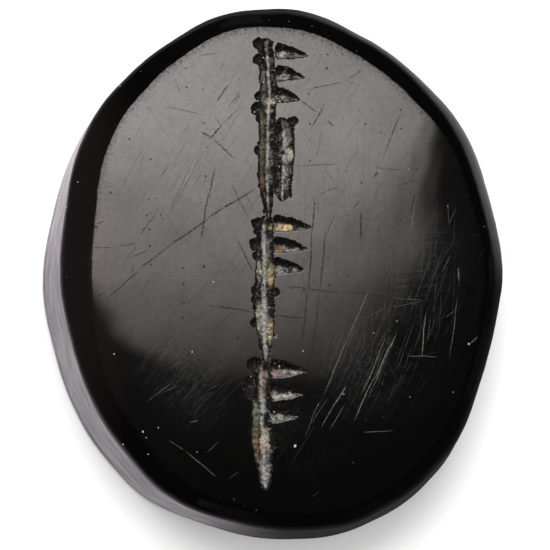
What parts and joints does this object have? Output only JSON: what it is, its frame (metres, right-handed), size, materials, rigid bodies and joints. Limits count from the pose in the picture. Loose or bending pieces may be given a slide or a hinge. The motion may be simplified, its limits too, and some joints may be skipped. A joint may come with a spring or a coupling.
{
  "type": "calligraphic seal stone",
  "caption": "Flat oval seal stone of polished black stone with ground sides, a bevelled shoulder and a column of engraved strokes on its slightly domed face.",
  "frame": {"origin": "the middle of the flat back, which the stone rests on", "axes": "+Z out of the engraved face, +Y along the stone's longer way and its column of strokes, +X across it to the side where the short strokes stand"},
  "size_m": [0.0156, 0.0178, 0.0035],
  "materials": {
    "black_stone": "polished, with fine scratches, rough pale dirt in the engraved strokes and a duller ground edge"
  },
  "bodies": {
    "root": {"seal_stone": "black_stone"}
  },
  "joints": []
}
